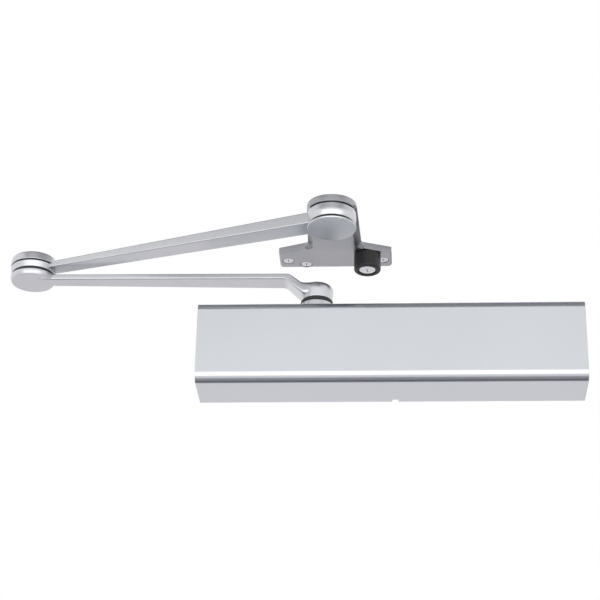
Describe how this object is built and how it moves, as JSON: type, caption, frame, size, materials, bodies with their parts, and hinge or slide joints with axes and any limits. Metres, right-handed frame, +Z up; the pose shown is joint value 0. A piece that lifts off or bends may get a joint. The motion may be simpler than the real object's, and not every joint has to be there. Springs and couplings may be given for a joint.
{
  "type": "door closer",
  "caption": "Surface-mounted door closer with full metal cover, rigid parallel arm and soffit shoe with rubber stop.",
  "frame": {"origin": "on the body casting's flat back, which lies on the door, level with the pinion's axis in X and with the middle of the cover's height in Z", "axes": "+X along the body towards the long spring end, +Y through the back into the door, +Z up along the pinion towards the soffit"},
  "size_m": [0.4721, 0.1338, 0.1315],
  "materials": {
    "cover_paint": "satin aluminium-coloured lacquer on sheet",
    "arm_paint": "satin aluminium-coloured powder coat on forgings and castings",
    "cast_aluminium": "as die cast, machined on its seats",
    "machined_steel": "turned and ground steel",
    "zinc_plate": "bright zinc plate",
    "dark_steel": "phosphated steel",
    "bronze": "sintered bronze",
    "black_rubber": "moulded black rubber",
    "black_nylon": "moulded black nylon",
    "spring_steel": "oiled spring steel"
  },
  "bodies": {
    "closer_body": {"body_casting": "cast_aluminium", "cover": "cover_paint", "cover_end_left": "cover_paint", "cover_end_right": "cover_paint", "cover_clip_1": "spring_steel", "cover_clip_2": "spring_steel", "cover_clip_3": "spring_steel", "cover_clip_4": "spring_steel", "clip_screw_1": "zinc_plate", "clip_screw_2": "zinc_plate", "clip_screw_3": "zinc_plate", "clip_screw_4": "zinc_plate", "mounting_screw_1": "zinc_plate", "mounting_screw_2": "zinc_plate", "mounting_screw_3": "zinc_plate", "mounting_screw_4": "zinc_plate", "upper_bearing": "machined_steel", "lower_bearing": "machined_steel", "upper_pinion_nut": "machined_steel", "lower_pinion_nut": "machined_steel", "shaft_seal": "black_rubber", "left_end_plug": "machined_steel", "left_plug_o_ring": "black_rubber", "right_end_plug": "machined_steel", "right_plug_o_ring": "black_rubber", "main_spring": "spring_steel"},
    "arm": {"pinion_shaft": "machined_steel", "main_arm": "arm_paint", "arm_screw": "zinc_plate", "arm_washer": "zinc_plate", "dust_ring": "black_nylon", "elbow_stud": "machined_steel", "elbow_cap": "arm_paint", "elbow_lower_washer": "black_nylon", "elbow_upper_washer": "dark_steel"},
    "forearm": {"forearm": "arm_paint", "elbow_bush": "bronze", "shoe_bush": "bronze"},
    "shoe": {"shoe_bracket": "arm_paint", "shoe_stud": "machined_steel", "shoe_cap": "arm_paint", "shoe_lower_washer": "black_nylon", "shoe_upper_washer": "dark_steel", "stop_bumper": "black_rubber", "bumper_screw": "zinc_plate", "shoe_screw_1": "zinc_plate", "shoe_screw_2": "zinc_plate", "shoe_screw_3": "zinc_plate", "shoe_screw_4": "zinc_plate"},
    "piston": {"piston": "machined_steel", "check_valve_seat": "bronze"},
    "check_ball": {"check_valve_ball": "zinc_plate"},
    "power_adjuster": {"power_adjusting_screw": "zinc_plate"},
    "spring_seat": {"spring_seat": "machined_steel"},
    "latch_valve": {"latch_valve": "machined_steel"},
    "sweep_valve": {"sweep_valve": "machined_steel"},
    "backcheck_valve": {"backcheck_valve": "machined_steel"}
  },
  "joints": [
    {"name": "pinion_turn", "type": "hinge", "parent": "closer_body", "child": "arm", "pos_m": [0, -0.024, 0.05], "axis": [0, 0, 1], "range_deg": [0, 180], "stiffness_Nm_per_rad": 3.6, "springref_deg": -171.89},
    {"name": "elbow_turn", "type": "hinge", "parent": "arm", "child": "forearm", "pos_m": [-0.2371, -0.024, 0.0745], "axis": [0, 0, 1], "range_deg": [-150, 15]},
    {"name": "shoe_turn", "type": "hinge", "parent": "forearm", "child": "shoe", "pos_m": [0.0148, -0.1, 0.08], "axis": [0, 0, 1], "range_deg": [-100, 78]},
    {"name": "piston_slide", "type": "slide", "parent": "closer_body", "child": "piston", "axis": [1, 0, 0], "range_m": [0, 0.02514], "deforming": ["main_spring"]},
    {"name": "check_ball_lift", "type": "slide", "parent": "piston", "child": "check_ball", "axis": [1, 0, 0], "range_m": [0, 0.002]},
    {"name": "power_adjuster_turn", "type": "hinge", "parent": "closer_body", "child": "power_adjuster", "pos_m": [0.19, -0.024, 0], "axis": [-1, 0, 0], "range_deg": [0, 3605]},
    {"name": "spring_seat_slide", "type": "slide", "parent": "closer_body", "child": "spring_seat", "axis": [-1, 0, 0], "range_m": [0, 0.015]},
    {"name": "latch_valve_turn", "type": "hinge", "parent": "closer_body", "child": "latch_valve", "pos_m": [-0.054, -0.024, -0.022], "axis": [0, 0, 1], "range_deg": [-90, 270]},
    {"name": "sweep_valve_turn", "type": "hinge", "parent": "closer_body", "child": "sweep_valve", "pos_m": [-0.036, -0.024, -0.022], "axis": [0, 0, 1], "range_deg": [-90, 270]},
    {"name": "backcheck_valve_turn", "type": "hinge", "parent": "closer_body", "child": "backcheck_valve", "pos_m": [0.04, -0.024, -0.022], "axis": [0, 0, 1], "range_deg": [-90, 270]}
  ],
  "couplings": [
    {"joint": "piston_slide", "follows": "pinion_turn", "m_per_rad": 0.008},
    {"joint": "power_adjuster_turn", "follows": "spring_seat_slide", "rad_per_m": 4188.8}
  ]
}
